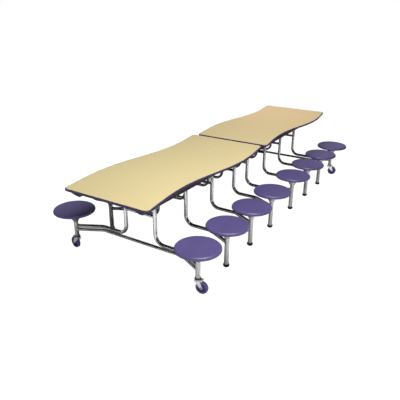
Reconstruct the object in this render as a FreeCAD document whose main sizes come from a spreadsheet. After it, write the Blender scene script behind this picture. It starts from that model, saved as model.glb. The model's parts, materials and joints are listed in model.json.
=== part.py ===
import FreeCAD, Part
import math
import os

import Sketcher
from FreeCAD import Placement, Rotation, Vector

# Mobile cafeteria table, in millimetres: X along the table, Y across it, Z up, origin on the floor
# under the centre of the top. The near half lies at minus X. The far half is the near half turned
# half a turn about Z.

doc = FreeCAD.newDocument("MobileTable")
sheet = doc.addObject("Spreadsheet::Sheet", "dims")

# Driving dimensions
SIZES = {
    # half tops
    "table_length": 3658,
    "table_height": 705,
    "centre_gap": 26,
    "top_width": 788,
    "wave_depth": 41,
    "wave_length": 1576,
    "corner_radius": 42,
    "core_thickness": 18,
    "laminate_thickness": 1,
    "edge_width": 8,
    "edge_round": 6,
    # side rails under each half
    "rail_line": 297,
    "rail_width": 30,
    "rail_depth": 55,
    "rail_wall": 2,
    "rail_end_inset": 72,
    "rail_centre_inset": 30,
    "plug_nose": 60,
    "plug_cap": 4,
    "plug_depth": 18,
    # leg frames
    "end_leg_inset": 405,
    "first_leg": 143,
    "leg_line": 148,
    "tube_diameter": 30,
    "tube_wall": 2,
    "leg_bend": 79,
    "arm_height": 217,
    "plan_bend_line": 400,
    "plan_bend": 90,
    "cross_tube_diameter": 25.4,
    "cross_tube_height": 449,
    "crossbar_gap": 6,
    "weld_gap": 0.2,
    # stools
    "stool_line": 613,
    "stool_sweep": 111.5,
    "post_diameter": 38,
    "post_wall": 2.5,
    "seat_diameter": 345,
    "seat_height": 380,
    "seat_depth": 28,
    "seat_deck": 10,
    "seat_rim": 16,
    "seat_round": 16,
    "seat_edge_round": 10,
    "plate_diameter": 170,
    "plate_thickness": 4,
    "flare_diameter": 160,
    "flare_height": 105,
    "flare_wall": 2,
    # glide feet
    "glide_diameter": 52,
    "glide_base": 38,
    "glide_taper": 8,
    "glide_height": 20,
    "glide_stem": 24,
    "push_clearance": 0.1,
    # leg pivots under the top
    "pivot_drop": 26,
    "pivot_pin": 12,
    "leg_end": 10,
    "hanger_plate": 4,
    "hanger_length": 64,
    "hanger_flange": 18,
    "ear_radius": 14,
    "side_gap": 1,
    "running_clearance": 0.05,
    "bolt_head_height": 6,
    "bolt_head_margin": 4,
    # wood screws of the hangers
    "screw_diameter": 5,
    "screw_length": 15,
    "screw_head_diameter": 10,
    "screw_head_height": 3,
    "screw_inset": 9,
    # link bars
    "link_drop": 100,
    "link_height": 16,
    "link_thickness": 6,
    "link_gap": 5,
    "link_pin": 8,
    "link_pin_cap": 3,
    "link_pin_margin": 3,
    "link_end": 14,
    "link_side_gap": 0.5,
    "open_clearance": 0.4,
    # centre hinge bridge
    "hinge_offset": 60,
    "hinge_drop": 16,
    "hinge_pin": 10,
    "bridge_line": 210,
    "bridge_plate": 10,
    "bridge_height": 24,
    "bridge_tube": 25.4,
    # casters
    "wheel_diameter": 100,
    "wheel_width": 28,
    "wheel_round": 6,
    "wheel_recess": 4,
    "wheel_tread": 15,
    "hub_diameter": 34,
    "axle_diameter": 10,
    "caster_trail": 34,
    "wheel_gap": 6,
    "head_height": 12,
    "head_diameter": 50,
    "head_gap": 0.4,
    "stem_diameter": 11,
    "stem_length": 40,
    "fork_plate": 4,
    "fork_side_gap": 2,
    "fork_width": 38,
    "fork_shoulder": 52,
    "fork_shoulder_drop": 6,
    "fork_boss": 20,
    "crown_reach": 42,
    "crown_thickness": 8,
    "socket_flange": 5,
    "socket_flange_diameter": 48,
    "caster_turn_near_right": -86,
    "caster_turn_near_left": 80,
    "caster_turn_far_right": -62,
    "caster_turn_far_left": 115,
}
for row, (alias, amount) in enumerate(SIZES.items(), start=1):
    sheet.set(f"A{row}", alias)
    sheet.set(f"B{row}", str(amount))
    sheet.setAlias(f"B{row}", alias)
doc.recompute()


def size(alias):
    return float(sheet.get(alias))


def value(expression):
    return float(sheet.evalExpression(expression))


# Levels and lines that several pieces share, as expressions on the driving dimensions
UNDERSIDE = "(dims.table_height - dims.laminate_thickness - dims.core_thickness)"
PIVOT_LEVEL = f"({UNDERSIDE} - dims.pivot_drop)"
LINK_LEVEL = f"({PIVOT_LEVEL} - dims.link_drop)"
HINGE_LEVEL = f"({UNDERSIDE} - dims.hinge_drop)"
CROSSBAR_LEVEL = (
    "(dims.arm_height - dims.tube_diameter / 2 - dims.crossbar_gap - dims.cross_tube_diameter / 2)"
)
PLATE_TOP = "(dims.seat_height - dims.seat_deck)"
POST_TOP = f"({PLATE_TOP} - dims.plate_thickness)"
HEAD_BOTTOM = "(dims.wheel_diameter + dims.wheel_gap)"
SOCKET_BOTTOM = f"({HEAD_BOTTOM} + dims.head_height + dims.head_gap)"
CASTER_POST_BOTTOM = f"({SOCKET_BOTTOM} + dims.socket_flange)"
POST_BORE = "(dims.post_diameter / 2 - dims.post_wall)"
HALF_LENGTH = "((dims.table_length - dims.centre_gap) / 2)"
HALF_CENTRE = "((dims.table_length + dims.centre_gap) / 4)"
LINK_LINE = "(dims.leg_line - dims.tube_diameter / 2 - dims.link_gap - dims.link_thickness / 2)"
FRAMES_PER_HALF = 4
FRAME_SPAN = "(dims.table_length / 2 - dims.first_leg - dims.end_leg_inset)"
FRAME_PITCH = f"({FRAME_SPAN} / {FRAMES_PER_HALF - 1})"

SIDES = (1, -1)
HALF_TURN = 180
QUARTER_TURN = 90
SAME = 1e-3
AXES = {
    "y": Rotation(Vector(1, 0, 0), -QUARTER_TURN),
    "z": Rotation(),
}
NODES = []


# Small builders whose sizes stay bound to the sheet

def bind(thing, **expressions):
    for name, expression in expressions.items():
        thing.setExpression(name, str(expression))


def put(thing, at, rotation=Rotation()):
    thing.Placement = Placement(Vector(), rotation)
    for axis, expression in zip("xyz", at):
        thing.setExpression(f"Placement.Base.{axis}", str(expression))
    return thing


def box(name, sizes, corner):
    thing = doc.addObject("Part::Box", name)
    bind(thing, Length=sizes[0], Width=sizes[1], Height=sizes[2])
    return put(thing, corner)


def rod(name, radius, length, start, along="z"):
    thing = doc.addObject("Part::Cylinder", name)
    bind(thing, Radius=radius, Height=length)
    return put(thing, start, AXES[along])


def cone(name, low_radius, high_radius, length, start):
    thing = doc.addObject("Part::Cone", name)
    bind(thing, Radius1=low_radius, Radius2=high_radius, Height=length)
    return put(thing, start)


def hexagon(name, radius, length, start, along="z"):
    thing = doc.addObject("Part::Prism", name)
    thing.Polygon = 6
    bind(thing, Circumradius=radius, Height=length)
    return put(thing, start, AXES[along])


def fuse(name, pieces):
    thing = doc.addObject("Part::MultiFuse", name)
    thing.Shapes = pieces
    return thing


def cut(name, base, tools):
    thing = doc.addObject("Part::Cut", name)
    thing.Base = base
    thing.Tool = tools[0] if len(tools) == 1 else fuse(f"{name}_tools", tools)
    return thing


def tube(name, radius, wall, length, start, along="z"):
    outer = rod(f"{name}_outer", radius, length, start, along)
    inner = rod(f"{name}_inner", f"{radius} - {wall}", length, start, along)
    return cut(name, outer, [inner])


def polygon(body, name, corners):
    """A closed upright sketch whose corners are held at their distances from the body's origin."""
    sketch = body.newObject("Sketcher::SketchObject", name)
    planes = {feature.Role: feature for feature in body.Origin.OriginFeatures}
    sketch.AttachmentSupport = (planes["XZ_Plane"], [""])
    sketch.MapMode = "FlatFace"
    spots = [Vector(value(across), value(up), 0) for across, up in corners]
    count = len(spots)
    for index in range(count):
        sketch.addGeometry(Part.LineSegment(spots[index], spots[(index + 1) % count]), False)
    for index in range(count):
        sketch.addConstraint(Sketcher.Constraint("Coincident", index, 2, (index + 1) % count, 1))
    for index, (across, up) in enumerate(corners):
        for kind, expression in (("DistanceX", across), ("DistanceY", up)):
            rule = Sketcher.Constraint(kind, -1, 1, index, 1, value(expression))
            number = sketch.addConstraint(rule)
            sketch.setExpression(f"Constraints[{number}]", expression)
    return sketch


def turned(name, corners):
    """A solid of revolution about its own Z axis."""
    body = doc.addObject("PartDesign::Body", name)
    profile = polygon(body, f"{name}_profile", corners)
    turn = body.newObject("PartDesign::Revolution", f"{name}_turn")
    turn.Profile = profile
    turn.ReferenceAxis = (profile, ["V_Axis"])
    turn.Angle = 2 * HALF_TURN
    doc.recompute()
    return body


def round_circles(body, name, radius, circles):
    """Rounds the circular edges that lie at the given radius and level."""
    wanted = [(value(across), value(level)) for across, level in circles]
    edges = []
    base = body.Tip
    for number, edge in enumerate(base.Shape.Edges, start=1):
        middle = edge.BoundBox.Center
        reach = edge.BoundBox.XLength / 2
        if any(abs(reach - across) < SAME and abs(middle.z - level) < SAME for across, level in wanted):
            edges.append(f"Edge{number}")
    fillet = body.newObject("PartDesign::Fillet", name)
    fillet.Base = (base, edges)
    fillet.setExpression("Radius", radius)
    doc.recompute()


def moved(thing, x=0, y=0, z=0, turn=0):
    """A copy of a finished piece's shape, turned about Z and then shifted."""
    shape = thing.Shape.copy()
    shape.Placement = Placement(Vector(x, y, z), Rotation(Vector(0, 0, 1), turn)).multiply(
        shape.Placement
    )
    return shape


def name_node(thing, label):
    thing.Label = label
    NODES.append(thing)
    return thing


def shape_node(label, shapes, x="0", y="0", turn=0):
    """A sub-part made of placed solids, with its own place in the table."""
    thing = doc.addObject("Part::Feature", label)
    thing.Shape = Part.makeCompound(shapes)
    put(thing, (x, y, "0"), Rotation(Vector(0, 0, 1), turn))
    return name_node(thing, label)


def far_copy(near, label):
    """The far half's twin of a near piece: the same piece, half a turn about the table's centre."""
    thing = doc.addObject("Part::Feature", label)
    shape = near.Shape.copy()
    half_turn = Placement(Vector(), Rotation(Vector(0, 0, 1), HALF_TURN))
    shape.Placement = half_turn.multiply(shape.Placement)
    thing.Shape = shape
    return name_node(thing, label)


# Half tops: an S-curved outline of constant width, point-symmetric about the half's own centre

WAVE_POINTS = 13


def wave(along):
    return -size("wave_depth") * math.sin(2 * math.pi * along / size("wave_length"))


def wavy_edge(half_length, side, offset):
    """One long edge of the half top, from its near end to its far end."""
    points = []
    for step in range(WAVE_POINTS):
        along = half_length * (2 * step / (WAVE_POINTS - 1) - 1)
        points.append(Vector(along, side * offset + wave(along), 0))
    curve = Part.BSplineCurve()
    curve.interpolate(points)
    return curve.toShape()


def slab(inset, bottom, thickness):
    """A half top's outline, pulled in all round, as a solid with round corners."""
    half_length = value(HALF_LENGTH) / 2 - inset
    left = wavy_edge(half_length, 1, size("top_width") / 2 - inset)
    right = wavy_edge(half_length, -1, size("top_width") / 2 - inset)
    ends = [
        Part.makeLine(left.valueAt(at), right.valueAt(at_right))
        for at, at_right in (
            (left.FirstParameter, right.FirstParameter),
            (left.LastParameter, right.LastParameter),
        )
    ]
    outline = Part.Wire(Part.__sortEdges__([left, right] + ends))
    solid = Part.Face(outline).extrude(Vector(0, 0, thickness))
    upright = [
        edge for edge in solid.Edges
        if max(edge.BoundBox.XLength, edge.BoundBox.YLength) < SAME
    ]
    solid = solid.makeFillet(size("corner_radius") - inset, upright)
    solid.translate(Vector(-value(HALF_CENTRE), 0, bottom))
    return solid


def half_top():
    underside = value(UNDERSIDE)
    core_top = underside + size("core_thickness")
    full_thickness = size("core_thickness") + size("laminate_thickness")
    inset = size("edge_width")

    core = slab(inset, underside, size("core_thickness"))
    holes = [
        Part.makeCylinder(
            size("screw_diameter") / 2 + size("push_clearance"),
            size("screw_length") - size("hanger_plate") + size("push_clearance"),
            Vector(x, y, underside),
        )
        for x, y in SCREW_SPOTS
    ]
    panel = shape_node("near_top_panel", [core.cut(Part.makeCompound(holes))])
    laminate = shape_node("near_top_laminate", [slab(inset, core_top, size("laminate_thickness"))])

    rim = slab(0, underside, full_thickness)
    flat_edges = [edge for edge in rim.Edges if edge.BoundBox.ZLength < SAME]
    rim = rim.makeFillet(size("edge_round"), flat_edges)
    band = shape_node("near_edge_band", [rim.cut(slab(inset, underside, full_thickness))])
    return panel, laminate, band


# Side rails: rectangular tubes with a plug in each end, sloping off under the table's own end

def sloping_nose(name, corner):
    """The outer part of an end plug, whose lower edge stands back from its upper one."""
    body = doc.addObject("PartDesign::Body", name)
    profile = polygon(body, f"{name}_profile", [
        ("0", "dims.rail_depth - dims.plug_cap"),
        ("0", "dims.rail_depth"),
        ("dims.plug_nose", "dims.rail_depth"),
        ("dims.plug_nose", "0"),
        ("dims.plug_nose - dims.plug_cap", "0"),
    ])
    pad = body.newObject("PartDesign::Pad", f"{name}_pad")
    pad.Profile = profile
    pad.Reversed = True
    pad.setExpression("Length", "dims.rail_width")
    return put(body, corner)


def flat_cap(name, corner):
    return box(name, ("dims.plug_cap", "dims.rail_width", "dims.rail_depth"), corner)


def side_rails():
    length = f"({HALF_LENGTH} - dims.rail_end_inset - dims.rail_centre_inset)"
    start = "(-dims.table_length / 2 + dims.rail_end_inset)"
    level = f"({UNDERSIDE} - dims.rail_depth)"
    bore_width = "(dims.rail_width - 2 * dims.rail_wall)"
    bore_depth = "(dims.rail_depth - 2 * dims.rail_wall)"
    pieces = []
    for side, word in zip(SIDES, ("left", "right")):
        name = f"near_rail_{word}"
        edge = f"({side} * dims.rail_line - dims.rail_width / 2)"
        outer = box(f"{name}_outer", (length, "dims.rail_width", "dims.rail_depth"), (start, edge, level))
        inner = box(
            f"{name}_inner",
            (length, bore_width, bore_depth),
            (start, f"{edge} + dims.rail_wall", f"{level} + dims.rail_wall"),
        )
        pieces.append(cut(name, outer, [inner]))
        for end, make_cap, cap_at, stem_at in (
            ("near", sloping_nose, f"{start} - dims.plug_nose", start),
            ("inner", flat_cap, f"{start} + {length}", f"{start} + {length} - dims.plug_depth"),
        ):
            cap = make_cap(f"{name}_{end}_cap", (cap_at, edge, level))
            stem = box(
                f"{name}_{end}_stem",
                (
                    "dims.plug_depth",
                    f"{bore_width} - 2 * dims.push_clearance",
                    f"{bore_depth} - 2 * dims.push_clearance",
                ),
                (
                    stem_at,
                    f"{edge} + dims.rail_wall + dims.push_clearance",
                    f"{level} + dims.rail_wall + dims.push_clearance",
                ),
            )
            pieces.append(fuse(f"{name}_{end}_plug", [cap, stem]))
    rails = doc.addObject("Part::Compound", "near_side_rails")
    rails.Links = pieces
    return name_node(rails, "near_side_rails")


# Hangers: folded plates under the top that hold a pin between two ears

def hanger(name, gap, drop, pin):
    """A hanger at X = 0, Y = 0 whose ears stand either side of the gap."""
    half_gap = f"({gap} / 2 + dims.side_gap)"
    spread = f"({half_gap} + dims.hanger_plate)"
    half_width = f"({spread} + dims.hanger_flange)"
    pin_level = f"({UNDERSIDE} - {drop})"
    plate = box(
        f"{name}_plate",
        ("dims.hanger_length", f"2 * {half_width}", "dims.hanger_plate"),
        ("-dims.hanger_length / 2", f"-{half_width}", f"{UNDERSIDE} - dims.hanger_plate"),
    )
    pieces = [plate]
    for side, inner_face in (("left", half_gap), ("right", f"-{spread}")):
        pieces.append(box(
            f"{name}_{side}_ear",
            ("2 * dims.ear_radius", "dims.hanger_plate", drop),
            ("-dims.ear_radius", inner_face, pin_level),
        ))
        pieces.append(rod(
            f"{name}_{side}_tip",
            "dims.ear_radius",
            "dims.hanger_plate",
            ("0", inner_face, pin_level),
            "y",
        ))
    tools = [rod(f"{name}_bore", f"{pin} / 2 + dims.push_clearance", f"2 * {half_width}",
                 ("0", f"-{half_width}", pin_level), "y")]
    for number, (x, y) in enumerate(hanger_screws(half_width)):
        tools.append(rod(
            f"{name}_hole_{number}",
            "dims.screw_diameter / 2 + dims.push_clearance",
            "dims.hanger_plate",
            (x, y, f"{UNDERSIDE} - dims.hanger_plate"),
        ))
    return cut(name, fuse(f"{name}_blank", pieces), tools)


def hanger_screws(half_width):
    """The four screw places of a hanger, as expressions from its own centre."""
    along = "(dims.hanger_length / 2 - dims.screw_inset)"
    across = f"({half_width} - dims.screw_inset)"
    return [
        (f"{end} * {along}", f"{side} * {across}")
        for end in SIDES
        for side in SIDES
    ]


def bolt(name, gap, drop, pin):
    """A hex-headed pin across a hanger, with its nut."""
    spread = f"({gap} / 2 + dims.side_gap + dims.hanger_plate)"
    level = f"({UNDERSIDE} - {drop})"
    flats = f"({pin} / 2 + dims.bolt_head_margin)"
    shank = rod(f"{name}_shank", f"{pin} / 2", f"2 * {spread}", ("0", f"-{spread}", level), "y")
    head = hexagon(f"{name}_head", flats, "dims.bolt_head_height", ("0", spread, level), "y")
    nut = hexagon(
        f"{name}_nut",
        flats,
        "dims.bolt_head_height",
        ("0", f"-{spread} - dims.bolt_head_height", level),
        "y",
    )
    return fuse(name, [shank, head, nut])


def screw():
    """A wood screw at X = 0, Y = 0, through a hanger's plate into the core."""
    seat_level = f"({UNDERSIDE} - dims.hanger_plate)"
    shank = rod("screw_shank", "dims.screw_diameter / 2", "dims.screw_length", ("0", "0", seat_level))
    head = rod(
        "screw_head",
        "dims.screw_head_diameter / 2",
        "dims.screw_head_height",
        ("0", "0", f"{seat_level} - dims.screw_head_height"),
    )
    return fuse("screw", [head, shank])


# Leg frames: bent tube, cross tube, posts and seats, in a frame of their own with the leg at X = 0

def bent_tube(path, radius, wall):
    """A round tube along a wire of straight runs and tangent arcs."""
    first = path.Edges[0]
    start = first.valueAt(first.FirstParameter)
    direction = first.tangentAt(first.FirstParameter)
    skins = []
    for reach in (radius, radius - wall):
        ring = Part.Wire(Part.makeCircle(reach, start, direction))
        skins.append(path.makePipeShell([ring], True, False))
    return skins[0].cut(skins[1])


def plan_corner(y_sign, level):
    """The arm's bend in plan: the run along Y, the arc, and the run out to the post."""
    corner = Vector(0, y_sign * size("plan_bend_line"), level)
    post = Vector(-size("stool_sweep"), y_sign * size("stool_line"), level)
    outward = (post - corner).normalize()
    inward = Vector(0, -y_sign, 0)
    turn = math.pi - inward.getAngle(outward)
    reach = size("plan_bend") * math.tan(turn / 2)
    begin = corner + inward * reach
    end = corner + outward * reach
    middle_line = (inward + outward).normalize()
    middle = corner + middle_line * (size("plan_bend") * (1 / math.cos(turn / 2) - 1))
    return begin, middle, end, post


def leg_path():
    """The left leg: down from the pivot, round to the arm, and out to the stool post."""
    bend = size("leg_bend")
    level = size("arm_height")
    line = size("leg_line")
    top = Vector(0, line, value(PIVOT_LEVEL) + size("leg_end"))
    above = Vector(0, line, level + bend)
    centre = Vector(0, line + bend, level + bend)
    beyond = Vector(0, line + bend, level)
    halfway = centre + Vector(0, -1, -1).normalize() * bend
    begin, middle, end, post = plan_corner(1, level)
    return Part.Wire([
        Part.makeLine(top, above),
        Part.Arc(above, halfway, beyond).toShape(),
        Part.makeLine(beyond, begin),
        Part.Arc(begin, middle, end).toShape(),
        Part.makeLine(end, post),
    ])


def post_clearance(side):
    """The space a post takes, with the weld's gap, to trim a tube that meets it."""
    return Part.makeCylinder(
        size("post_diameter") / 2 + size("weld_gap"),
        value(POST_TOP),
        Vector(-size("stool_sweep"), side * size("stool_line"), 0),
    )


def link_stud():
    """The stud on the leg's inner side that carries a link bar: collar, pin and cap."""
    level = value(LINK_LEVEL)
    line = size("leg_line")
    radius = size("link_pin") / 2
    collar_radius = radius + size("link_pin_margin")
    bar = value(LINK_LINE)
    half_bar = size("link_thickness") / 2
    inward = Vector(0, -1, 0)
    collar_end = bar + half_bar + size("link_side_gap")
    cap_start = bar - half_bar - size("link_side_gap")
    collar = Part.makeCylinder(collar_radius, line - collar_end, Vector(0, line, level), inward)
    pin = Part.makeCylinder(radius, line - cap_start, Vector(0, line, level), inward)
    cap = Part.makeCylinder(collar_radius, size("link_pin_cap"), Vector(0, cap_start, level), inward)
    bore_length = 2 * size("link_drop")
    bore = Part.makeCylinder(
        size("tube_diameter") / 2 - size("tube_wall"),
        bore_length,
        Vector(0, line, level - bore_length / 2),
    )
    return collar.fuse([pin, cap]).cut(bore)


def left_leg():
    tube_solid = bent_tube(leg_path(), size("tube_diameter") / 2, size("tube_wall"))
    tube_solid = tube_solid.cut(post_clearance(1))
    level = value(PIVOT_LEVEL)
    pivot_bore = Part.makeCylinder(
        size("pivot_pin") / 2 + size("running_clearance"),
        size("tube_diameter"),
        Vector(0, size("leg_line") - size("tube_diameter") / 2, level),
        Vector(0, 1, 0),
    )
    return tube_solid.cut(pivot_bore).fuse(link_stud())


def mirrored(shape):
    return shape.mirror(Vector(), Vector(0, 1, 0))


def cross_tube():
    radius = size("cross_tube_diameter") / 2
    line = size("leg_line")
    level = size("cross_tube_height")
    run = Vector(0, 1, 0)
    start = Vector(0, -line, level)
    solid = Part.makeCylinder(radius, 2 * line, start, run)
    solid = solid.cut(Part.makeCylinder(radius - size("tube_wall"), 2 * line, start, run))
    leg_radius = size("tube_diameter") / 2 + size("weld_gap")
    leg_length = 2 * size("cross_tube_diameter")
    for side in SIDES:
        bottom = Vector(0, side * line, level - leg_length / 2)
        solid = solid.cut(Part.makeCylinder(leg_radius, leg_length, bottom))
    return solid


def crossbar():
    """The low bar of an end frame, from one caster post to the other, under the two arms."""
    level = value(CROSSBAR_LEVEL)
    right = plan_corner(-1, level)
    left = plan_corner(1, level)
    path = Part.Wire([
        Part.makeLine(right[3], right[2]),
        Part.Arc(right[2], right[1], right[0]).toShape(),
        Part.makeLine(right[0], left[0]),
        Part.Arc(left[0], left[1], left[2]).toShape(),
        Part.makeLine(left[2], left[3]),
    ])
    solid = bent_tube(path, size("cross_tube_diameter") / 2, size("tube_wall"))
    for side in SIDES:
        solid = solid.cut(post_clearance(side))
    return solid


def post(name, bottom):
    """A stool post at X = 0, Y = 0 with its seat plate and the flared cone under it."""
    length = f"({POST_TOP} - {bottom})"
    pipe = tube(f"{name}_pipe", "dims.post_diameter / 2", "dims.post_wall", length, ("0", "0", bottom))
    plate = rod(f"{name}_plate", "dims.plate_diameter / 2", "dims.plate_thickness", ("0", "0", POST_TOP))
    neck = "(dims.post_diameter / 2 + dims.weld_gap)"
    mouth = "(dims.flare_diameter / 2)"
    flare_start = ("0", "0", f"{POST_TOP} - dims.flare_height")
    outer = cone(f"{name}_cone", f"{neck} + dims.flare_wall", mouth, "dims.flare_height", flare_start)
    inner = cone(f"{name}_hollow", neck, f"{mouth} - dims.flare_wall", "dims.flare_height", flare_start)
    return fuse(name, [pipe, plate, cut(f"{name}_flare", outer, [inner])])


def seat():
    """A moulded seat at X = 0, Y = 0: a deck with a turned-down rim."""
    radius = "dims.seat_diameter / 2"
    bottom = "dims.seat_height - dims.seat_depth"
    inner = "dims.seat_diameter / 2 - dims.seat_rim"
    body = turned("seat", [
        ("0", PLATE_TOP),
        (inner, PLATE_TOP),
        (inner, bottom),
        (radius, bottom),
        (radius, "dims.seat_height"),
        ("0", "dims.seat_height"),
    ])
    round_circles(body, "seat_top_round", "dims.seat_round", [(radius, "dims.seat_height")])
    round_circles(body, "seat_edge_round", "dims.seat_edge_round", [(radius, bottom)])
    return body


def glide():
    """A foot at X = 0, Y = 0: a tapered pad under the post and a stem inside it."""
    stem = f"{POST_BORE} - dims.push_clearance"
    return turned("glide", [
        ("0", "0"),
        ("dims.glide_base / 2", "0"),
        ("dims.glide_diameter / 2", "dims.glide_taper"),
        ("dims.glide_diameter / 2", "dims.glide_height"),
        (stem, "dims.glide_height"),
        (stem, "dims.glide_height + dims.glide_stem"),
        ("0", "dims.glide_height + dims.glide_stem"),
    ])


# Casters, each about its own swivel axis with the wheel trailing along plus X

def caster_socket():
    """The bush in an end post that the caster's stem turns in."""
    bore = "dims.stem_diameter / 2 + dims.running_clearance"
    outer = f"{POST_BORE} - dims.push_clearance"
    top = f"{SOCKET_BOTTOM} + dims.stem_length"
    return turned("caster_socket", [
        (bore, SOCKET_BOTTOM),
        ("dims.socket_flange_diameter / 2", SOCKET_BOTTOM),
        ("dims.socket_flange_diameter / 2", CASTER_POST_BOTTOM),
        (outer, CASTER_POST_BOTTOM),
        (outer, top),
        (bore, top),
    ])


def caster_fork():
    axle_level = "dims.wheel_diameter / 2"
    cheek_at = "(dims.wheel_width / 2 + dims.fork_side_gap)"
    shoulder_level = f"{HEAD_BOTTOM} - dims.fork_shoulder_drop"
    head = rod("fork_head", "dims.head_diameter / 2", "dims.head_height", ("0", "0", HEAD_BOTTOM))
    stem = rod(
        "fork_stem",
        "dims.stem_diameter / 2",
        "dims.head_height + dims.head_gap + dims.stem_length",
        ("0", "0", HEAD_BOTTOM),
    )
    axle = rod(
        "fork_axle",
        "dims.axle_diameter / 2",
        f"2 * ({cheek_at} + dims.fork_plate)",
        ("dims.caster_trail", f"-{cheek_at} - dims.fork_plate", axle_level),
        "y",
    )
    crown = box(
        "fork_crown",
        ("dims.crown_reach", f"2 * ({cheek_at} + dims.fork_plate)", "dims.crown_thickness"),
        ("0", f"-{cheek_at} - dims.fork_plate", HEAD_BOTTOM),
    )
    pieces = [head, stem, axle, crown]
    for side, inner_face in (("left", cheek_at), ("right", f"(-{cheek_at} - dims.fork_plate)")):
        name = f"fork_{side}"
        body = doc.addObject("PartDesign::Body", name)
        profile = polygon(body, f"{name}_profile", [
            ("-dims.fork_width / 2", f"{HEAD_BOTTOM} + dims.head_height"),
            ("-dims.fork_width / 2", HEAD_BOTTOM),
            ("-dims.fork_shoulder / 2", shoulder_level),
            ("dims.caster_trail - dims.fork_boss / 2", axle_level),
            ("dims.caster_trail + dims.fork_boss / 2", axle_level),
            ("dims.fork_shoulder / 2", shoulder_level),
            ("dims.fork_width / 2", HEAD_BOTTOM),
            ("dims.fork_width / 2", f"{HEAD_BOTTOM} + dims.head_height"),
        ])
        pad = body.newObject("PartDesign::Pad", f"{name}_pad")
        pad.Profile = profile
        pad.Reversed = True
        pad.setExpression("Length", "dims.fork_plate")
        put(body, ("0", inner_face, "0"))
        pieces.append(body)
        pieces.append(rod(
            f"{name}_boss",
            "dims.fork_boss / 2",
            "dims.fork_plate",
            ("dims.caster_trail", inner_face, axle_level),
            "y",
        ))
    return fuse("caster_fork", pieces)


def caster_wheel():
    """A wheel about its own Z axis: tread, dished web and hub."""
    bore = "dims.axle_diameter / 2 + dims.running_clearance"
    rim = "dims.wheel_diameter / 2"
    web = f"{rim} - dims.wheel_tread"
    hub = "dims.hub_diameter / 2"
    face = "dims.wheel_width / 2"
    dish = f"{face} - dims.wheel_recess"
    body = turned("caster_wheel", [
        (bore, f"-({face})"),
        (hub, f"-({face})"),
        (hub, f"-({dish})"),
        (web, f"-({dish})"),
        (web, f"-({face})"),
        (rim, f"-({face})"),
        (rim, face),
        (web, face),
        (web, dish),
        (hub, dish),
        (hub, face),
        (bore, face),
    ])
    round_circles(body, "wheel_round", "dims.wheel_round", [(rim, face), (rim, f"-({face})")])
    return body


# Link bars: one on each side of a half, on the studs of its four legs

def link_bars():
    start = f"(-dims.first_leg - {FRAME_SPAN})"
    half_bar = "(dims.link_thickness / 2)"
    bars = []
    for side, word in zip(SIDES, ("left", "right")):
        name = f"near_link_{word}"
        face = f"({side} * {LINK_LINE} - {half_bar})"
        flat = box(
            f"{name}_flat",
            (f"{FRAME_SPAN} + 2 * dims.link_end", "dims.link_thickness", "dims.link_height"),
            (f"{start} - dims.link_end", face, f"{LINK_LEVEL} - dims.link_height / 2"),
        )
        holes = []
        for number in range(FRAMES_PER_HALF):
            clearance = "dims.running_clearance" if number == 0 else "dims.open_clearance"
            holes.append(rod(
                f"{name}_hole_{number}",
                f"dims.link_pin / 2 + {clearance}",
                "dims.link_thickness",
                (f"{start} + {number} * {FRAME_PITCH}", face, LINK_LEVEL),
                "y",
            ))
        bars.append(cut(name, flat, holes))
    pair = doc.addObject("Part::Compound", "near_link_bars")
    pair.Links = bars
    return name_node(pair, "near_link_bars")


# Centre hinge bridge: two plates joined by a tube, hinged to each half at its own line

def centre_bridge():
    pieces = []
    bores = []
    reach = "dims.hinge_offset"
    for side, word in zip(SIDES, ("left", "right")):
        face = f"({side} * dims.bridge_line - dims.bridge_plate / 2)"
        pieces.append(box(
            f"bridge_{word}_flat",
            (f"2 * {reach}", "dims.bridge_plate", "dims.bridge_height"),
            (f"-{reach}", face, f"{HINGE_LEVEL} - dims.bridge_height / 2"),
        ))
        for end in SIDES:
            place = f"{end} * {reach}"
            tag = f"{word}_{'far' if end > 0 else 'near'}"
            pieces.append(rod(f"bridge_{tag}_eye", "dims.bridge_height / 2", "dims.bridge_plate",
                              (place, face, HINGE_LEVEL), "y"))
            bores.append(rod(f"bridge_{tag}_bore", "dims.hinge_pin / 2 + dims.running_clearance",
                             "dims.bridge_plate", (place, face, HINGE_LEVEL), "y"))
    gap = "(dims.bridge_line - dims.bridge_plate / 2)"
    pieces.append(tube("bridge_tube", "dims.bridge_tube / 2", "dims.tube_wall", f"2 * {gap}",
                       ("0", f"-{gap}", HINGE_LEVEL), "y"))
    return name_node(cut("centre_bridge", fuse("bridge_blank", pieces), bores), "centre_bridge")


# Places of the near half's hangers, and of every screw in its core

LEG_X = [-(size("first_leg") + step * value(FRAME_PITCH)) for step in range(FRAMES_PER_HALF)]
LEG_SPOTS = [(x, side * size("leg_line")) for x in LEG_X for side in SIDES]
HINGE_SPOTS = [(-size("hinge_offset"), side * size("bridge_line")) for side in SIDES]


def screw_spots(places, gap):
    half_width = f"({gap} / 2 + dims.side_gap + dims.hanger_plate + dims.hanger_flange)"
    offsets = [(value(x), value(y)) for x, y in hanger_screws(half_width)]
    return [(x + dx, y + dy) for x, y in places for dx, dy in offsets]


SCREW_SPOTS = screw_spots(LEG_SPOTS, "dims.tube_diameter") + screw_spots(HINGE_SPOTS, "dims.bridge_plate")

# Masters that repeat
leg_hanger = hanger("leg_hanger", "dims.tube_diameter", "dims.pivot_drop", "dims.pivot_pin")
hinge_hanger = hanger("hinge_hanger", "dims.bridge_plate", "dims.hinge_drop", "dims.hinge_pin")
leg_bolt = bolt("leg_bolt", "dims.tube_diameter", "dims.pivot_drop", "dims.pivot_pin")
hinge_bolt = bolt("hinge_bolt", "dims.bridge_plate", "dims.hinge_drop", "dims.hinge_pin")
wood_screw = screw()
middle_post = post("middle_post", "dims.glide_height")
end_post = post("end_post", CASTER_POST_BOTTOM)
seat_body = seat()
glide_body = glide()
socket_body = caster_socket()
fork_body = caster_fork()
wheel_body = caster_wheel()
doc.recompute()

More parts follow.
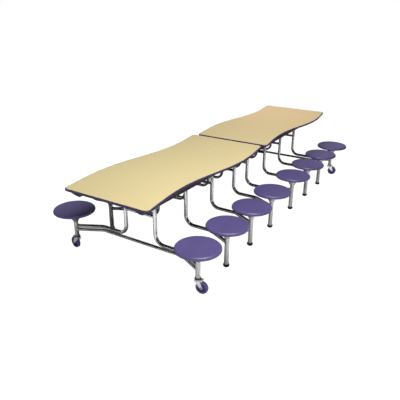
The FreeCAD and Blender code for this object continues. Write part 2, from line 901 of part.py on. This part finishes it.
# Near half, then its twin
near_pieces = list(half_top())
near_pieces.append(side_rails())
near_pieces.append(link_bars())
doc.recompute()
near_pieces.append(shape_node(
    "near_hangers",
    [moved(leg_hanger, x, y) for x, y in LEG_SPOTS] + [moved(hinge_hanger, x, y) for x, y in HINGE_SPOTS],
))
near_pieces.append(shape_node(
    "near_fasteners",
    [moved(leg_bolt, x, y) for x, y in LEG_SPOTS]
    + [moved(hinge_bolt, x, y) for x, y in HINGE_SPOTS]
    + [moved(wood_screw, x, y) for x, y in SCREW_SPOTS],
))
doc.recompute()
for piece in near_pieces:
    far_copy(piece, piece.Label.replace("near_", "far_"))
centre_bridge()

# Stool frames 1 to 8, from the near end to the far end
left_solid = left_leg()
leg_solids = [left_solid, mirrored(left_solid), cross_tube()]
crossbar_solid = crossbar()
stool_spots = [(-size("stool_sweep"), side * size("stool_line")) for side in SIDES]
END_FRAMES = (1, 2 * FRAMES_PER_HALF)
for number in range(1, 2 * FRAMES_PER_HALF + 1):
    near = number <= FRAMES_PER_HALF
    steps = FRAMES_PER_HALF - number if near else number - FRAMES_PER_HALF - 1
    place = {
        "x": f"{-1 if near else 1} * (dims.first_leg + {steps} * {FRAME_PITCH})",
        "turn": 0 if near else HALF_TURN,
    }
    name = f"frame_{number}"
    at_end = number in END_FRAMES
    shape_node(f"{name}_legs", leg_solids, **place)
    shape_node(f"{name}_posts", [moved(end_post if at_end else middle_post, x, y) for x, y in stool_spots],
               **place)
    shape_node(f"{name}_seats", [moved(seat_body, x, y) for x, y in stool_spots], **place)
    if at_end:
        shape_node(f"{name}_crossbar", [crossbar_solid], **place)
        shape_node(f"{name}_caster_sockets", [moved(socket_body, x, y) for x, y in stool_spots], **place)
    else:
        shape_node(f"{name}_glides", [moved(glide_body, x, y) for x, y in stool_spots], **place)

# Casters under the end stools
upright_wheel = wheel_body.Shape.copy()
upright_wheel.Placement = Placement(Vector(), AXES["y"])
upright_wheel.translate(Vector(size("caster_trail"), 0, size("wheel_diameter") / 2))
END_STOOL_X = f"(dims.first_leg + {FRAME_SPAN} + dims.stool_sweep)"
for end, end_word in ((-1, "near"), (1, "far")):
    for side, side_word in zip(SIDES, ("left", "right")):
        corner = f"{end_word}_{side_word}"
        place = {
            "x": f"{end} * {END_STOOL_X}",
            "y": f"{side} * dims.stool_line",
            "turn": size(f"caster_turn_{corner}"),
        }
        shape_node(f"caster_{corner}_fork", [fork_body.Shape.copy()], **place)
        shape_node(f"caster_{corner}_wheel", [upright_wheel], **place)

doc.recompute()

# Every object has to be whole before anything is written
for thing in doc.Objects:
    if "Invalid" in thing.State or "Error" in thing.State:
        raise RuntimeError(f"{thing.Label}: {thing.State}")
for thing in NODES:
    if thing.Shape.isNull() or not thing.Shape.isValid() or not thing.Shape.Solids:
        raise RuntimeError(f"{thing.Label}: shape is not a valid solid")

os.makedirs("parts", exist_ok=True)
for thing in NODES:
    thing.Shape.exportStep(f"parts/{thing.Label}.step")
    print(thing.Label, len(thing.Shape.Solids), round(thing.Shape.Volume))
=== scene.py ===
"""Looks of the mobile cafeteria table: finishes, small fitted details, studio and camera."""

import json
import math

import bpy
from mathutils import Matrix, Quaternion, Vector


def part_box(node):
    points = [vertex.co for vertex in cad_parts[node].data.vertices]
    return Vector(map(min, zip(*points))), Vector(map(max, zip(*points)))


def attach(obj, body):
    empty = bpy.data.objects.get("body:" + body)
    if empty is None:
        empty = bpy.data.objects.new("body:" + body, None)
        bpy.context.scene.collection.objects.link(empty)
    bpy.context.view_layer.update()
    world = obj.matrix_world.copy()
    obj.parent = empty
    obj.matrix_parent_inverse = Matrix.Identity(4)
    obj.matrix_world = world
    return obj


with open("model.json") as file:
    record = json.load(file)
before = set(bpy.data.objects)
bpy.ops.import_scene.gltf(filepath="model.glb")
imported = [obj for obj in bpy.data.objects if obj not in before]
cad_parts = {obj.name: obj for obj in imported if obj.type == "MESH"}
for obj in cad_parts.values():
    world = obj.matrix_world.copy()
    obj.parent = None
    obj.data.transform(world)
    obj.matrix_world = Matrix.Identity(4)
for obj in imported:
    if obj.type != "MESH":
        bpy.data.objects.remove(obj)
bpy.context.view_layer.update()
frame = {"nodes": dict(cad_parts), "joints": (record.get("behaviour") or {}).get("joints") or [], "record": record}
record = frame["record"]
nodes = frame["nodes"]
joints = {joint["name"]: joint for joint in frame["joints"]}

UP = Vector((0, 0, 1))
SIDES = (1, -1)
WHITE = (1, 1, 1)
OPAQUE_WHITE = (*WHITE, 1)

# Camera, from the fit of the photograph: metres and degrees
CAMERA_AT = Vector((-3.9156, -2.1215, 1.9292))
CAMERA_YAW = 32.122
CAMERA_PITCH = -22.976
CAMERA_ROLL = 0.315
CAMERA_LENS = 40.89
SENSOR_WIDTH = 36

# Floor: tones of its light parts and of the table's shadow painted darker under it, and where each begins
FLOOR_SIZE = 60
FLOOR_LIGHT = 0.85
FLOOR_SIDE = 0.60
FLOOR_DARK = 0.18
FLOOR_DARK_FROM_X = -1.5
FLOOR_LIGHT_FROM_X = -2.1
FLOOR_DARK_FROM_Y = -0.40
FLOOR_LIGHT_FROM_Y = -0.80
FLOOR_GLOW = 1.0

# Room: light from the horizon to the zenith, and from the front to the back
BACK = (0.847, 0.532, 0.0)
ROOM_DARK = 0.03
ROOM_HORIZON = 0.60
ROOM_ZENITH = 0.04
ROOM_LOW = 0.05
ROOM_HIGH = 0.45
ROOM_START = -0.35
ROOM_FULL = 0.15

# Soft panels: places, targets and sizes in metres, power in watts, spread in degrees
TOP_AT = (-1.45, -1.4, 3.8)
TOP_TARGET = (-1.3, -0.7, 0.5)
TOP_SIZE = (0.7, 2.6)
TOP_WATTS = 195
CARD_SIZE = (0.35, 2.6)
CARD_WATTS = 18
FAR_AT = (2.2, 1.0, 3.4)
FAR_TARGET = (1.75, 0.05, 0.7)
FAR_SIZE = (1.6, 1.6)
FAR_WATTS = 22
FAR_TINT = (1.0, 0.80, 0.86)
FAR_SPREAD = 78
FRONT_AT = (-5.2, -3.0, 1.7)
FRONT_TARGET = (-1.6, -0.4, 0.2)
FRONT_SIZE = (2.0, 1.6)
FRONT_WATTS = 110
FULL_SPREAD = 180

# Finishes: the part of a noise's range that is used, and how much paler its upper tone is
NOISE_LOW = 0.3
NOISE_HIGH = 0.7
PLASTIC_PALER = 1.12
METAL_PALER = 1.15

# Leg frames: lines, levels and radii of the tubes, in a frame of their own with the legs at X = 0
LEG_LINE = 0.148
BEND_LINE = 0.400
STOOL_LINE = 0.613
STOOL_SWEEP = 0.1115
ARM_LEVEL = 0.217
CROSS_TUBE_LEVEL = 0.449
CROSSBAR_LEVEL = 0.1833
TUBE_RADIUS = 0.015
CROSS_TUBE_RADIUS = 0.0127
POST_RADIUS = 0.019
FRAME_COUNT = 8
FRAMES_PER_HALF = 4
END_FRAMES = (1, FRAME_COUNT)

# Weld beads
BEAD_RADIUS = 0.0024
BEAD_RIPPLE = 0.18
BEAD_RIPPLES = 22
BEAD_STEPS = 88
BEAD_SIDES = 6

# Ribs under the seats
RIB_COUNT = 12
RIB_START = 0.088
RIB_STOP = 0.1565
RIB_DEPTH = 0.009
RIB_THICKNESS = 0.003
RIB_DRAFT = 0.8
RIB_ROOT = 0.0005
RIB_RING = 0.122

# Boots over the glides
BOOT_BORE = 0.0191
BOOT_RADIUS = 0.0256
BOOT_HEIGHT = 0.004
BOOT_LIP = 0.002
BOOT_ROUND = BOOT_LIP / 3
GLIDE_TOP = 0.020

# Casters
CASTERS = ("near_left", "near_right", "far_left", "far_right")
CHEEK_FACE = 0.020
WASHER_BORE = 0.001
WASHER_RADIUS = 0.009
WASHER_THICKNESS = 0.0012
NUT_SIDES = 6
NUT_RADIUS = 0.0078
NUT_HEIGHT = 0.0055
NUT_CHAMFER = 0.0009
RACE_RADIUS = 0.0250
RACE_PROUD = 0.0016
RACE_LEVELS = ((0.1062, 0.1102), (0.1136, 0.1179))
WEB_INNER = 0.0172
WEB_OUTER = 0.0348
WEB_FACE = 0.0100
WEB_THICKNESS = 0.0008
WEB_RIB_FACE = 0.0128
WEB_RIB_THICKNESS = 0.0022
WEB_RIBS = 8
ROUND_STEPS = 64


def turns(count):
    """Angles of a whole turn in equal steps."""
    return [2 * math.pi * step / count for step in range(count)]


def add_object(name, data):
    thing = bpy.data.objects.new(name, data)
    bpy.context.scene.collection.objects.link(thing)
    return thing


def add_camera():
    yaw = math.radians(CAMERA_YAW)
    pitch = math.radians(CAMERA_PITCH)
    forward = Vector((math.cos(pitch) * math.cos(yaw), math.cos(pitch) * math.sin(yaw), math.sin(pitch)))
    lens = bpy.data.cameras.new("camera")
    lens.sensor_width = SENSOR_WIDTH
    lens.lens = CAMERA_LENS
    camera = add_object("camera", lens)
    camera.rotation_mode = "QUATERNION"
    roll = Quaternion(UP, math.radians(CAMERA_ROLL))
    camera.rotation_quaternion = forward.to_track_quat("-Z", "Y") @ roll
    camera.location = CAMERA_AT
    bpy.context.scene.camera = camera


# Finishes

class Look:
    """A node material, put together from a few kinds of detail."""

    def __init__(self, name, roughness=0.5, metallic=0.0, **sockets):
        self.material = bpy.data.materials.new(name)
        self.material.use_nodes = True
        self.tree = self.material.node_tree
        self.shader = self.tree.nodes["Principled BSDF"]
        self.shader.inputs["Roughness"].default_value = roughness
        self.shader.inputs["Metallic"].default_value = metallic
        for socket, amount in sockets.items():
            self.shader.inputs[socket.replace("_", " ")].default_value = amount
        self.coordinates = self.node("ShaderNodeTexCoord")
        self.place = self.coordinates.outputs["Object"]

    def node(self, kind, **settings):
        made = self.tree.nodes.new(kind)
        for setting, amount in settings.items():
            setattr(made, setting, amount)
        return made

    def link(self, source, target):
        self.tree.links.new(source, target)

    def noise(self, scale, detail=3.0, stretch=(1, 1, 1)):
        """Noise whose features are about 1 / scale metres wide, drawn out along the small stretches."""
        mapping = self.node("ShaderNodeMapping")
        mapping.inputs["Scale"].default_value = stretch
        self.link(self.place, mapping.inputs["Vector"])
        texture = self.node("ShaderNodeTexNoise")
        texture.inputs["Scale"].default_value = scale
        texture.inputs["Detail"].default_value = detail
        self.link(mapping.outputs["Vector"], texture.inputs["Vector"])
        return texture.outputs["Fac"]

    def facing(self, start, stop):
        """From 0 to 1 as the surface's own normal turns from start to stop, measured along Z."""
        split = self.node("ShaderNodeSeparateXYZ")
        self.link(self.coordinates.outputs["Normal"], split.inputs["Vector"])
        return self.spread(split.outputs["Z"], 0, 1, start, stop)

    def ramp(self, source, first, second, start=NOISE_LOW, stop=NOISE_HIGH):
        """From the first colour to the second as the source goes from start to stop."""
        ramp = self.node("ShaderNodeValToRGB")
        for element, position, colour in zip(ramp.color_ramp.elements, (start, stop), (first, second)):
            element.position = position
            element.color = (*colour, 1)
        self.link(source, ramp.inputs["Fac"])
        return ramp.outputs["Color"]

    def spread(self, source, low, high, start=NOISE_LOW, stop=NOISE_HIGH):
        """The source's range from start to stop spread from low to high."""
        spread = self.node("ShaderNodeMapRange")
        spread.inputs["From Min"].default_value = start
        spread.inputs["From Max"].default_value = stop
        spread.inputs["To Min"].default_value = low
        spread.inputs["To Max"].default_value = high
        self.link(source, spread.inputs["Value"])
        return spread.outputs["Result"]

    def blend(self, colour, other, kind="MULTIPLY", share=None):
        """Two colours together: the share is how much of the blend shows, all of it where none is given."""
        mix = self.node("ShaderNodeMix", data_type="RGBA", blend_type=kind)
        mix.inputs["Factor"].default_value = 1
        if share is not None:
            self.link(share, mix.inputs["Factor"])
        self.link(colour, mix.inputs["A"])
        self.link(other, mix.inputs["B"])
        return mix.outputs["Result"]

    def colour(self, source):
        self.link(source, self.shader.inputs["Base Color"])

    def roughness(self, source):
        self.link(source, self.shader.inputs["Roughness"])

    def bump(self, height, distance):
        bump = self.node("ShaderNodeBump")
        bump.inputs["Distance"].default_value = distance
        bump.inputs["Strength"].default_value = 1
        self.link(height, bump.inputs["Height"])
        self.link(bump.outputs["Normal"], self.shader.inputs["Normal"])


def maple_laminate():
    """Plain fused-maple laminate: faint long grain and pores under a satin coat."""
    look = Look("maple_laminate", Specular_IOR_Level=0.4)
    bands = look.noise(scale=6, detail=4, stretch=(0.35, 6, 1))
    pores = look.noise(scale=90, detail=2, stretch=(0.12, 6, 1))
    tone = look.ramp(bands, (0.500, 0.419, 0.217), (0.511, 0.429, 0.222))
    fine = look.ramp(pores, (0.985, 0.983, 0.975), WHITE, start=0.35, stop=0.6)
    look.colour(look.blend(tone, fine))
    look.roughness(look.spread(bands, low=0.36, high=0.46))
    look.bump(pores, distance=0.00003)
    return look.material


def wood_core():
    """Chipboard, with its downward faces painted near-black as the shade under the top."""
    look = Look("wood_core", roughness=0.7)
    chips = look.noise(scale=140)
    board = look.ramp(chips, (0.20, 0.13, 0.07), (0.36, 0.26, 0.15), stop=0.6)
    # painted shade: near-black on the downward faces, standing in for the shade under the top
    painted_underside_shade = look.ramp(chips, (0.010, 0.010, 0.011), (0.018, 0.018, 0.019))
    look.colour(look.blend(board, painted_underside_shade, "MIX", look.facing(start=-0.6, stop=-0.9)))
    look.bump(chips, distance=0.0002)
    return look.material


def coloured_plastic(name, colour, grain, roughness, specular=0.45):
    """Moulded plastic with a fine pebbled face and slightly uneven gloss."""
    look = Look(name, Specular_IOR_Level=specular)
    cloud = look.noise(scale=5)
    pebble = look.noise(grain, detail=1)
    pale = tuple(PLASTIC_PALER * part for part in colour)
    look.colour(look.ramp(cloud, colour, pale))
    look.roughness(look.spread(cloud, roughness - 0.04, roughness + 0.06))
    look.bump(pebble, distance=0.00008)
    return look.material


def purple_edge():
    """Moulded edge, with a painted sheen making it paler along its upper round."""
    look = Look("purple_edge", Specular_IOR_Level=0.45)
    cloud = look.noise(scale=5)
    # noise that varies the painted sheen on the upper round
    sheen_noise = look.noise(scale=60, detail=4, stretch=(0.3, 0.3, 1))
    body = look.ramp(cloud, (0.027, 0.019, 0.056), (0.032, 0.023, 0.066))
    # painted sheen: a paler purple on upward-facing rounds, standing in for light caught on the top of the edge
    painted_sheen = look.ramp(sheen_noise, (0.040, 0.030, 0.076), (0.052, 0.040, 0.096), start=0.35, stop=0.65)
    look.colour(look.blend(body, painted_sheen, "MIX", look.facing(start=0.25, stop=0.85)))
    look.roughness(look.spread(cloud, low=0.34, high=0.44))
    look.bump(look.noise(scale=900, detail=1), distance=0.00008)
    return look.material


def bright_tube():
    """Bright plating with faint smudges."""
    look = Look("bright_tube", metallic=1.0)
    smudge = look.noise(scale=9, detail=4)
    look.colour(look.ramp(smudge, (0.66, 0.66, 0.67), (0.74, 0.74, 0.75)))
    look.roughness(look.spread(smudge, low=0.13, high=0.21))
    return look.material


def brushed_metal(name, colour, roughness, metallic=1.0):
    """Metal with fine lines along Z."""
    look = Look(name, metallic=metallic)
    lines = look.noise(scale=300, detail=2, stretch=(1, 1, 0.03))
    pale = tuple(min(1, METAL_PALER * part) for part in colour)
    look.colour(look.ramp(lines, colour, pale))
    look.roughness(look.spread(lines, roughness - 0.05, roughness + 0.08))
    look.bump(lines, distance=0.00002)
    return look.material


def black_paint():
    """Black powder coat with a fine orange peel."""
    look = Look("black_steel", Specular_IOR_Level=0.5)
    peel = look.noise(scale=700, detail=2)
    look.colour(look.ramp(peel, (0.012, 0.012, 0.013), (0.024, 0.024, 0.025)))
    look.roughness(look.spread(peel, low=0.36, high=0.48))
    look.bump(peel, distance=0.00006)
    return look.material


LOOKS = {
    "maple_laminate": maple_laminate(),
    "wood_core": wood_core(),
    "purple_edge": purple_edge(),
    "seat_plastic": coloured_plastic("seat_plastic", (0.073, 0.058, 0.158), grain=1100, roughness=0.33),
    "bright_tube": bright_tube(),
    "satin_post": brushed_metal("satin_post", (0.65, 0.65, 0.64), roughness=0.50),
    "black_steel": black_paint(),
    "zinc_hardware": brushed_metal("zinc_hardware", (0.50, 0.50, 0.47), roughness=0.34),
    "black_plastic": coloured_plastic("black_plastic", (0.007, 0.007, 0.008), grain=800, roughness=0.55,
                                      specular=0.3),
    "caster_steel": brushed_metal("caster_steel", (0.86, 0.86, 0.85), roughness=0.36, metallic=0.10),
    "wheel_plastic": coloured_plastic("wheel_plastic", (0.110, 0.085, 0.250), grain=1000, roughness=0.33),
}
WEB_LOOK = coloured_plastic("wheel_web", (0.045, 0.034, 0.110), grain=1000, roughness=0.42)
for part in record["subparts"]:
    for holder in nodes[part["node"]].material_slots:
        holder.material = LOOKS[part["material_slot"]]


# Fitted details

class Form:
    """Vertices and faces of one piece, gathered from several shapes."""

    def __init__(self):
        self.vertices = []
        self.faces = []

    def add(self, vertices, faces):
        start = len(self.vertices)
        self.vertices += vertices
        self.faces += [[start + corner for corner in face] for face in faces]

    def skin(self, rings, closed):
        """Faces between rings of equal length: the last ring meets the first, or both are capped."""
        size = len(rings[0])
        count = len(rings)
        faces = []
        for row in range(count if closed else count - 1):
            after = (row + 1) % count
            for step in range(size):
                beside = (step + 1) % size
                faces.append((row * size + step, row * size + beside,
                              after * size + beside, after * size + step))
        if not closed:
            faces.append(tuple(reversed(range(size))))
            faces.append(tuple(range((count - 1) * size, count * size)))
        self.add([corner for ring in rings for corner in ring], faces)

    def lathe(self, centre, axis, profile, steps=ROUND_STEPS, closed=True):
        """A profile of (radius, height along the axis) turned about the axis."""
        side = axis.orthogonal().normalized()
        front = axis.cross(side)
        rings = []
        for radius, height in profile:
            rings.append([
                centre + axis * height + (side * math.cos(turn) + front * math.sin(turn)) * radius
                for turn in turns(steps)
            ])
        self.skin(rings, closed)

    def bar(self, start, stop, across, drop, draft):
        """A straight rib from start to stop that narrows along the drop."""
        narrow = across * draft
        top = [start - across, start + across, stop + across, stop - across]
        low = [start - narrow, start + narrow, stop + narrow, stop - narrow]
        self.skin([top, [corner + drop for corner in low]], closed=False)

    def piece(self, name, body, slot, look=None, smooth=True):
        mesh = bpy.data.meshes.new(name)
        mesh.from_pydata([tuple(corner) for corner in self.vertices], [], self.faces)
        mesh.polygons.foreach_set("use_smooth", [smooth] * len(mesh.polygons))
        mesh.materials.append(look or LOOKS[slot])
        made = add_object(name, mesh)
        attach(made, body)


def frame_spot(number):
    """A leg frame's place along X, and 1 for the near half or -1 for the far half, turned half round."""
    joint = joints["fold" if number == 1 else f"frame_{number}_pivot"]
    return joint["pos_m"][0], 1 if number <= FRAMES_PER_HALF else -1


def stool_spots(number, level):
    """The centres of a frame's two stools at a level."""
    x, facing = frame_spot(number)
    return [Vector((x - facing * STOOL_SWEEP, side * STOOL_LINE, level)) for side in SIDES]


def weld_bead(form, centre, along, side, radius, wall):
    """A rippled bead where a tube along a line meets the round wall of an upright."""
    rings = []
    for turn in turns(BEAD_STEPS):
        reach = math.sqrt(wall ** 2 - (radius * math.cos(turn)) ** 2)
        out = side * math.cos(turn) + UP * math.sin(turn)
        middle = centre + along * reach + out * radius
        thick = BEAD_RADIUS * (1 + BEAD_RIPPLE * math.sin(BEAD_RIPPLES * turn))
        rings.append([
            middle + (out * math.cos(angle) + along * math.sin(angle)) * thick
            for angle in turns(BEAD_SIDES)
        ])
    form.skin(rings, closed=True)


def add_welds(number):
    """Beads of one frame: arms on the posts, cross tube on the legs, and an end frame's low bar."""
    x = frame_spot(number)[0]
    form = Form()
    for side, post in zip(SIDES, stool_spots(number, 0)):
        bend = Vector((x, side * BEND_LINE, 0))
        along = (bend - post).normalized()
        across = Vector((-along.y, along.x, 0))
        weld_bead(form, post + UP * ARM_LEVEL, along, across, TUBE_RADIUS, POST_RADIUS)
        if number in END_FRAMES:
            weld_bead(form, post + UP * CROSSBAR_LEVEL, along, across, CROSS_TUBE_RADIUS, POST_RADIUS)
        leg = Vector((x, side * LEG_LINE, CROSS_TUBE_LEVEL))
        weld_bead(form, leg, Vector((0, -side, 0)), Vector((1, 0, 0)), CROSS_TUBE_RADIUS, TUBE_RADIUS)
    form.piece(f"frame_{number}_welds", f"frame_{number}", "bright_tube")


def add_seat_ribs(number):
    """Moulded ribs and a ring under the deck of each seat of a frame."""
    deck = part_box(f"frame_{number}_posts")[1].z
    half = RIB_THICKNESS / 2
    form = Form()
    for centre in stool_spots(number, deck + RIB_ROOT):
        for turn in turns(RIB_COUNT):
            out = Vector((math.cos(turn), math.sin(turn), 0))
            across = Vector((-out.y, out.x, 0)) * half
            form.bar(centre + out * RIB_START, centre + out * RIB_STOP, across, -UP * RIB_DEPTH, RIB_DRAFT)
        form.lathe(centre, -UP, [
            (RIB_RING - half, 0),
            (RIB_RING - half * RIB_DRAFT, RIB_DEPTH),
            (RIB_RING + half * RIB_DRAFT, RIB_DEPTH),
            (RIB_RING + half, 0),
        ])
    form.piece(f"frame_{number}_seat_ribs", f"frame_{number}", "seat_plastic", smooth=False)


def add_boots(number):
    """Black boots that close the joint between a post and its glide."""
    form = Form()
    for centre in stool_spots(number, GLIDE_TOP):
        form.lathe(centre, UP, [
            (BOOT_BORE, 0),
            (BOOT_RADIUS, 0),
            (BOOT_RADIUS, BOOT_HEIGHT - BOOT_LIP),
            (BOOT_RADIUS - BOOT_ROUND, BOOT_HEIGHT - BOOT_ROUND),
            (BOOT_BORE, BOOT_HEIGHT),
        ])
    form.piece(f"frame_{number}_boots", f"frame_{number}", "black_plastic")


def add_axle_ends(corner, hub, axle):
    """A nut on a washer at each end of a caster's axle."""
    nuts = Form()
    washers = Form()
    for side in SIDES:
        out = axle * side
        face = hub + out * CHEEK_FACE
        washers.lathe(face, out, [
            (WASHER_BORE, 0),
            (WASHER_RADIUS, 0),
            (WASHER_RADIUS, WASHER_THICKNESS),
            (WASHER_BORE, WASHER_THICKNESS),
        ])
        nuts.lathe(face, out, [
            (NUT_RADIUS, WASHER_THICKNESS),
            (NUT_RADIUS, NUT_HEIGHT - NUT_CHAMFER),
            (NUT_RADIUS - NUT_CHAMFER, NUT_HEIGHT),
        ], steps=NUT_SIDES, closed=False)
    nuts.piece(f"caster_{corner}_nuts", f"caster_{corner}_swivel", "zinc_hardware", smooth=False)
    washers.piece(f"caster_{corner}_washers", f"caster_{corner}_swivel", "zinc_hardware", smooth=False)


def add_webs(corner, hub, axle):
    """The ribbed webs inside the dishes of a caster's wheel."""
    webs = Form()
    for side in SIDES:
        out = axle * side
        webs.lathe(hub, out, [
            (WEB_INNER, WEB_FACE),
            (WEB_OUTER, WEB_FACE),
            (WEB_OUTER, WEB_FACE + WEB_THICKNESS),
            (WEB_INNER, WEB_FACE + WEB_THICKNESS),
        ])
        foot = hub + out * WEB_FACE
        rise = out * (WEB_RIB_FACE - WEB_FACE)
        side_way = out.orthogonal().normalized()
        up_way = out.cross(side_way)
        for turn in turns(WEB_RIBS):
            ray = side_way * math.cos(turn) + up_way * math.sin(turn)
            across = out.cross(ray) * (WEB_RIB_THICKNESS / 2)
            webs.bar(foot + ray * WEB_INNER, foot + ray * WEB_OUTER, across, rise, RIB_DRAFT)
    webs.piece(f"caster_{corner}_webs", f"caster_{corner}_roll", "wheel_plastic", WEB_LOOK, smooth=False)


def add_race(corner, stem):
    """The two rings of a caster's ball race."""
    race = Form()
    for bottom, top in RACE_LEVELS:
        race.lathe(stem, UP, [
            (RACE_RADIUS - RACE_PROUD, bottom),
            (RACE_RADIUS + RACE_PROUD, bottom + RACE_PROUD / 2),
            (RACE_RADIUS + RACE_PROUD, top - RACE_PROUD / 2),
            (RACE_RADIUS - RACE_PROUD, top),
        ])
    race.piece(f"caster_{corner}_race", f"caster_{corner}_swivel", "black_plastic")


for number in range(1, FRAME_COUNT + 1):
    add_welds(number)
    add_seat_ribs(number)
    if number not in END_FRAMES:
        add_boots(number)
for corner in CASTERS:
    swivel = joints[f"caster_{corner}_swivel"]
    roll = joints[f"caster_{corner}_roll"]
    hub = Vector(roll["pos_m"])
    axle = Vector(roll["axis"]).normalized()
    add_axle_ends(corner, hub, axle)
    add_webs(corner, hub, axle)
    add_race(corner, Vector((*swivel["pos_m"][:2], 0)))


# Studio

def add_floor():
    """A pale floor with the table's shadow painted grey under it, and plain white where it is seen directly."""
    half = FLOOR_SIZE / 2
    corners = [(-half, -half, 0), (half, -half, 0), (half, half, 0), (-half, half, 0)]
    sheet = bpy.data.meshes.new("floor")
    sheet.from_pydata(corners, [], [(0, 1, 2, 3)])
    floor = add_object("floor", sheet)
    look = Look("floor", roughness=0.9, Specular_IOR_Level=0.1, Emission_Color=OPAQUE_WHITE)
    split = look.node("ShaderNodeSeparateXYZ")
    look.link(look.place, split.inputs["Vector"])
    # painted shadow: the floor's colour darkens under the table and towards its left side, seen in reflections
    tone = look.node("ShaderNodeMath", operation="MAXIMUM")
    for entry, axis, tone_there, dark, light in (
        (0, "X", FLOOR_LIGHT, FLOOR_DARK_FROM_X, FLOOR_LIGHT_FROM_X),
        (1, "Y", FLOOR_SIDE, FLOOR_DARK_FROM_Y, FLOOR_LIGHT_FROM_Y),
    ):
        look.link(look.spread(split.outputs[axis], FLOOR_DARK, tone_there, dark, light), tone.inputs[entry])
    look.colour(tone.outputs["Value"])
    ray = look.node("ShaderNodeLightPath")
    glow = look.spread(ray.outputs["Is Camera Ray"], 0, FLOOR_GLOW, 0, 1)
    look.link(glow, look.shader.inputs["Emission Strength"])
    sheet.materials.append(look.material)


def smooth_step(tree, start, stop, low):
    """A node that leaves the low value smoothly as its source goes from start to stop."""
    step = tree.nodes.new("ShaderNodeMapRange")
    step.interpolation_type = "SMOOTHSTEP"
    step.inputs["From Min"].default_value = start
    step.inputs["From Max"].default_value = stop
    step.inputs["To Min"].default_value = low
    return step


def white_background(tree):
    background = tree.nodes.new("ShaderNodeBackground")
    background.inputs["Color"].default_value = OPAQUE_WHITE
    return background


def add_sky():
    """A room that is light low down behind and dark elsewhere, and plain white where seen directly."""
    world = bpy.data.worlds.new("studio")
    bpy.context.scene.world = world
    world.use_nodes = True
    tree = world.node_tree
    tree.nodes.clear()
    place = tree.nodes.new("ShaderNodeTexCoord")
    split = tree.nodes.new("ShaderNodeSeparateXYZ")
    rise = smooth_step(tree, ROOM_LOW, ROOM_HIGH, ROOM_HORIZON)
    rise.inputs["To Max"].default_value = ROOM_ZENITH
    depth = tree.nodes.new("ShaderNodeVectorMath")
    depth.operation = "DOT_PRODUCT"
    depth.inputs[1].default_value = BACK
    light = smooth_step(tree, ROOM_START, ROOM_FULL, ROOM_DARK)
    studio = white_background(tree)
    backdrop = white_background(tree)
    ray = tree.nodes.new("ShaderNodeLightPath")
    choose = tree.nodes.new("ShaderNodeMixShader")
    out = tree.nodes.new("ShaderNodeOutputWorld")
    for source, target in (
        (place.outputs["Generated"], split.inputs["Vector"]),
        (split.outputs["Z"], rise.inputs["Value"]),
        (place.outputs["Generated"], depth.inputs[0]),
        (depth.outputs["Value"], light.inputs["Value"]),
        (rise.outputs["Result"], light.inputs["To Max"]),
        (light.outputs["Result"], studio.inputs["Strength"]),
        (ray.outputs["Is Camera Ray"], choose.inputs["Fac"]),
        (studio.outputs["Background"], choose.inputs[1]),
        (backdrop.outputs["Background"], choose.inputs[2]),
        (choose.outputs["Shader"], out.inputs["Surface"]),
    ):
        tree.links.new(source, target)


def add_softbox(name, at, target, size, watts, colour=WHITE, mirrored=True, spread=FULL_SPREAD, misses=()):
    """A soft panel that can stay out of reflections, keep to a narrow beam, or miss some things."""
    panel = bpy.data.lights.new(name, "AREA")
    panel.shape = "RECTANGLE"
    panel.size, panel.size_y = size
    panel.energy = watts
    panel.color = colour
    panel.spread = math.radians(spread)
    light = add_object(name, panel)
    light.location = at
    light.rotation_mode = "QUATERNION"
    light.rotation_quaternion = (Vector(target) - Vector(at)).to_track_quat("-Z", "Y")
    light.visible_glossy = mirrored
    if misses:
        missed = bpy.data.collections.new(f"{name}_misses")
        for thing in misses:
            missed.objects.link(thing)
        for entry in missed.collection_objects:
            entry.light_linking.link_state = "EXCLUDE"
        light.light_linking.receiver_collection = missed


add_camera()
add_floor()
add_sky()
tubes = [
    thing for thing in bpy.data.objects
    if thing.type == "MESH" and LOOKS["bright_tube"].name in thing.data.materials
]
add_softbox("top", TOP_AT, TOP_TARGET, TOP_SIZE, TOP_WATTS, misses=tubes)
add_softbox("card", TOP_AT, TOP_TARGET, CARD_SIZE, CARD_WATTS)
add_softbox("far", FAR_AT, FAR_TARGET, FAR_SIZE, FAR_WATTS, FAR_TINT, mirrored=False, spread=FAR_SPREAD)
add_softbox("front", FRONT_AT, FRONT_TARGET, FRONT_SIZE, FRONT_WATTS, mirrored=False)
bpy.context.scene.view_settings.view_transform = "Standard"
